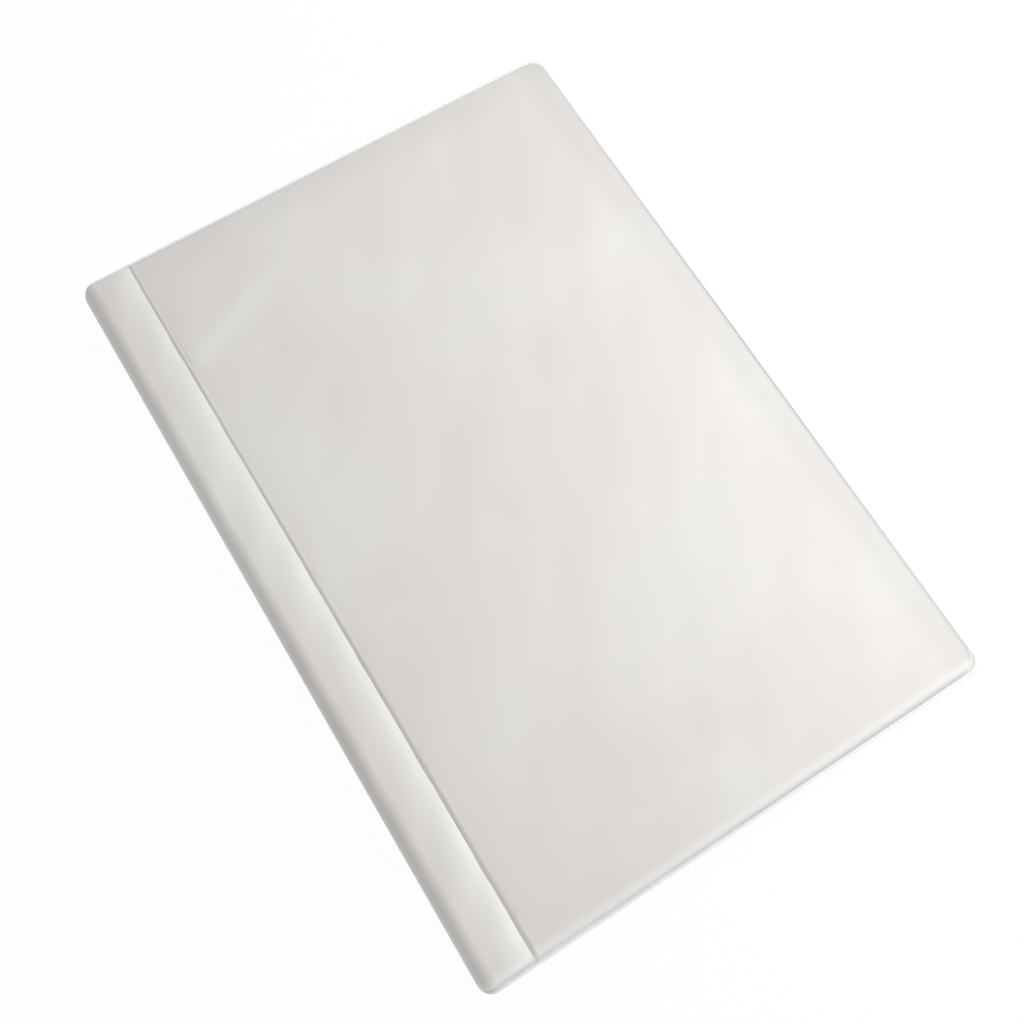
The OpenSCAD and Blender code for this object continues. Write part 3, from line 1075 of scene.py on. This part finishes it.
def strip_grid(shrink, lip):
    """The padded surface of the spine, drawn in by shrink, its places along the spine and its painted light
    and shade.
    """
    s = sizes()
    y1 = PANEL_HALF_L + s.edge_over - shrink
    end = lead(s.end_wall, s.end_crown)
    along = graded(-y1, y1, end, end, round(2 * PANEL_HALF_L / s.grid))
    full = bank(y1 - np.abs(along), s.end_wall, s.end_crown, s.end_crown_share)
    r = RIM_TOP_H + lip + (RISE - shrink - lip) * full
    left = s.roll_in + shrink + np.maximum(s.spine_draw - s.roll_in - shrink - lip, 0) * (1 - full)
    foot = RIM_TOP_H + lip + np.maximum(groove_foot(along) - shrink - lip, 0) * full
    edge = STRIP_EDGE + s.strip_over - shrink
    x, h, tilt = strip_path(left, r, edge, foot)
    along = along[:, None]
    y = cut_corner(x, along, y1, s.spine_corner)
    raised = smooth_step((np.abs(h) - RIM_TOP_H) / (RISE / 2)) * full[:, None] ** 2
    uneven = s.strip_wave * waves(STRIP_WAVES[0] * x, STRIP_WAVES[1] * y, PHASES["spine"]) * raised
    uneven = np.where(h < 0, np.minimum(uneven, 0), uneven)
    # Painted light and shade along the spine's two ends
    tone = edge_tone((y1 - along, TOP_TONES), (y1 + along, BOTTOM_TONES)) + 0 * x
    # Painted light on the spine's flat top, away from its roll
    tone = tone + s.strip_painted_light * smooth_step((x - s.roll_width) / (2 * s.roll_width))
    # Painted highlight on the ridge beside the groove
    tone = tone + s.ridge_painted_highlight * np.exp(-(((x - edge + RIDGE_IN) / RIDGE_WIDTH) ** 2))
    return placed(x, y, h + np.sign(h) * uneven, tilt), along, tone


def ride_the_fold(piece, *nodes, slot):
    """The piece is baked into place and stands for the two halves' solids, which are hidden."""
    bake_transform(piece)
    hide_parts(*nodes)


class WALLET_OT_spine_wrap(bpy.types.Operator):
    """Wrap the outer film round the spine, from one groove to the other"""
    bl_idname = "wallet.spine_wrap"
    bl_label = "Spine film"

    def execute(self, context):
        s = sizes()
        outer, _, tone = strip_grid(0.0, s.lip)
        inner, _, _ = strip_grid(s.film, s.lip)
        wrap = shell("spine_wrap", outer, inner, outer_vinyl(), SKIN_SHARP, tone)
        ride_the_fold(wrap, "rear_spine_sheet", "front_spine_sheet", slot="outer_vinyl")
        return {"FINISHED"}


class WALLET_OT_spine_foam(bpy.types.Operator):
    """Fill the spine with foam between its film and its lining"""
    bl_idname = "wallet.spine_foam"
    bl_label = "Spine foam"

    def execute(self, context):
        s = sizes()
        top, along, _ = strip_grid(s.film + s.ease, s.lip + s.ease)
        x, h, tilt = lining_path(RIM_TOP_H + s.ease)
        under = placed(x, cut_corner(x, along, np.max(along), s.spine_corner), h, tilt)
        foam = shell("spine_foam", top, under, foam_material())
        ride_the_fold(foam, "rear_spine_pad", "front_spine_pad", slot="foam")
        return {"FINISHED"}


class WALLET_OT_spine_lining(bpy.types.Operator):
    """Line the inside of the spine"""
    bl_idname = "wallet.spine_lining"
    bl_label = "Spine lining"

    def execute(self, context):
        s = sizes()
        along = np.linspace(-PANEL_HALF_L, PANEL_HALF_L, int(PANEL_HALF_L / s.grid))[:, None]
        grids = []
        for r in (RIM_TOP_H, LINER_H):
            x, h, tilt = lining_path(r)
            grids.append(placed(x, cut_corner(x, along, PANEL_HALF_L, s.spine_corner), h, tilt))
        lining = shell("spine_lining", *grids, lining_vinyl())
        ride_the_fold(lining, "rear_spine_liner", "front_spine_liner", slot="lining_vinyl")
        return {"FINISHED"}


class WALLET_OT_spine_ends(bpy.types.Operator):
    """Press the welded ends of the spine flat, with rounded corners"""
    bl_idname = "wallet.spine_ends"
    bl_label = "Spine end welds"

    def execute(self, context):
        s = sizes()
        reach = FOLD_WALL - s.spine_draw
        for name, sign in (("spine_top_end", 1), ("spine_bottom_end", -1)):
            loops = []
            for out, below, _ in rim_section():
                x, h, tilt = lining_path(RIM_TOP_H - below, reach)
                y = PANEL_HALF_L + (HALF_L - PANEL_HALF_L) * out
                loops.append(placed(x, sign * cut_corner(x, y, y, s.weld_corner), h, tilt))
            loops = np.stack(loops, axis=1)
            # Painted shade along the pressed line, and painted light on the top end's weld
            facing = np.full(len(loops), float(sign))
            end = tube(name, loops, welded_vinyl(), RIM_SHARP, rim_tone(0 * facing, facing))
            ride_the_fold(end, "rear_spine_end_welds", "front_spine_end_welds", slot="welded_vinyl")
        return {"FINISHED"}


# Stage

WHITE = grey(1.0)
FLOOR_HALF = 3.0
FLOOR_Z = -0.05 * MM
FLOOR_ROUGHNESS = 0.9
CLIP = (0.01, 20.0)


def looked_at(tree):
    """A node whose value is 1 where the camera, gloss or glass looks."""
    path = add(tree, "ShaderNodeLightPath")
    seen = add(tree, "ShaderNodeMath", operation="MAXIMUM")
    looked = add(tree, "ShaderNodeMath", operation="MAXIMUM")
    wire(
        tree,
        (path, "Is Camera Ray", seen, 0),
        (path, "Is Glossy Ray", seen, 1),
        (seen, "Value", looked, 0),
        (path, "Is Transmission Ray", looked, 1))
    return looked


class WALLET_OT_stage(bpy.types.Operator):
    """Set up the pale floor, the soft light and the camera"""
    bl_idname = "wallet.stage"
    bl_label = "Stage"

    def execute(self, context):
        t = context.scene.wallet_stage
        self.make_floor(t)
        self.make_world(context.scene, t)
        self.make_lamp(t)
        self.make_camera(context.scene)
        context.scene.view_settings.view_transform = "Standard"
        return {"FINISHED"}

    def make_floor(self, t):
        """A pale floor that keeps a shadow and lets the camera see what folds below it."""
        corners = ((-1, -1), (1, -1), (1, 1), (-1, 1))
        mesh = bpy.data.meshes.new("floor")
        mesh.from_pydata([(x * FLOOR_HALF, y * FLOOR_HALF, FLOOR_Z) for x, y in corners], [], [(0, 1, 2, 3)])
        floor = bpy.data.objects.new("floor", mesh)
        bpy.context.scene.collection.objects.link(floor)
        material, tree, shader = new_material("floor")
        shader.inputs["Base Color"].default_value = opaque(t.floor)
        shader.inputs["Roughness"].default_value = FLOOR_ROUGHNESS
        shader.inputs["Specular IOR Level"].default_value = 0.0
        clear = add(tree, "ShaderNodeBsdfTransparent")
        mix = add(tree, "ShaderNodeMixShader")
        amount = add(tree, "ShaderNodeMath", {1: t.floor_clear}, operation="MULTIPLY")
        wire(
            tree,
            (looked_at(tree), "Value", amount, 0),
            (amount, "Value", mix, 0),
            (shader, "BSDF", mix, 1),
            (clear, "BSDF", mix, 2),
            (mix, "Shader", tree.nodes["Material Output"], "Surface"))
        mesh.materials.append(material)

    def make_world(self, scene, t):
        """Even light from all round, seen as plain white."""
        world = bpy.data.worlds.new("studio")
        world.use_nodes = True
        scene.world = world
        tree = world.node_tree
        sky = tree.nodes["Background"]
        sky.inputs["Color"].default_value = WHITE
        sky.inputs["Strength"].default_value = t.sky
        white = add(tree, "ShaderNodeBackground", {"Color": WHITE, "Strength": 1.0})
        mix = add(tree, "ShaderNodeMixShader")
        wire(
            tree,
            (looked_at(tree), "Value", mix, 0),
            (sky, "Background", mix, 1),
            (white, "Background", mix, 2),
            (mix, "Shader", tree.nodes["World Output"], "Surface"))

    def make_lamp(self, t):
        """One long soft lamp over the fore-edge."""
        lamp = bpy.data.lights.new("key", "AREA")
        lamp.energy = t.key
        lamp.shape = "RECTANGLE"
        lamp.size = t.key_long
        lamp.size_y = t.key_wide
        holder = bpy.data.objects.new("key", lamp)
        towards = Vector((
            math.cos(t.key_turn) * math.cos(t.key_height),
            math.sin(t.key_turn) * math.cos(t.key_height),
            math.sin(t.key_height)))
        holder.location = t.key_away * towards
        holder.rotation_euler = (-towards).to_track_quat("-Z", "Y").to_euler()
        bpy.context.scene.collection.objects.link(holder)

    def make_camera(self, scene):
        """A camera at the viewpoint of the photograph."""
        camera = bpy.data.cameras.new("photo_camera")
        camera.sensor_width = SENSOR
        camera.lens = SENSOR * PHOTO_FOCAL / PHOTO_SIZE
        camera.clip_start, camera.clip_end = CLIP
        holder = bpy.data.objects.new("photo_camera", camera)
        scene.collection.objects.link(holder)
        back = Vector(PHOTO_BACK).normalized()
        right = Vector(PHOTO_UP).cross(back).normalized()
        up = back.cross(right)
        turn = Matrix((right, up, back)).transposed().to_4x4()
        holder.matrix_world = Matrix.Translation(PHOTO_EYE) @ turn
        scene.camera = holder


# Add-on

OPERATORS = (
    WALLET_OT_stage, WALLET_OT_panel_skins, WALLET_OT_cover_foam, WALLET_OT_boards, WALLET_OT_linings,
    WALLET_OT_pockets, WALLET_OT_rims, WALLET_OT_groove_webs, WALLET_OT_spine_wrap, WALLET_OT_spine_foam,
    WALLET_OT_spine_lining, WALLET_OT_spine_ends,
)


class WALLET_PT_sidebar(bpy.types.Panel):
    """Sizes, colours and steps of the wallet"""
    bl_label = "Wallet"
    bl_idname = "WALLET_PT_sidebar"
    bl_space_type = "VIEW_3D"
    bl_region_type = "UI"
    bl_category = "Wallet"

    def draw(self, context):
        scene = context.scene
        for group in (scene.wallet_sizes, scene.wallet_colours, scene.wallet_stage):
            box = self.layout.box()
            for key in group.__annotations__:
                box.prop(group, key)
        for operator in OPERATORS:
            self.layout.operator(operator.bl_idname)


CLASSES = (WalletSizes, WalletColours, WalletStage, *OPERATORS, WALLET_PT_sidebar)


def register():
    """Add the classes and the settings."""
    for cls in CLASSES:
        bpy.utils.register_class(cls)
    bpy.types.Scene.wallet_sizes = bpy.props.PointerProperty(type=WalletSizes)
    bpy.types.Scene.wallet_colours = bpy.props.PointerProperty(type=WalletColours)
    bpy.types.Scene.wallet_stage = bpy.props.PointerProperty(type=WalletStage)


def unregister():
    """Take the settings and the classes away."""
    del bpy.types.Scene.wallet_stage
    del bpy.types.Scene.wallet_colours
    del bpy.types.Scene.wallet_sizes
    for cls in reversed(CLASSES):
        bpy.utils.unregister_class(cls)


def main():
    """Build everything."""
    register()
    for operator in OPERATORS:
        family, step = operator.bl_idname.split(".")
        getattr(getattr(bpy.ops, family), step)()


if __name__ == "__main__":
    main()
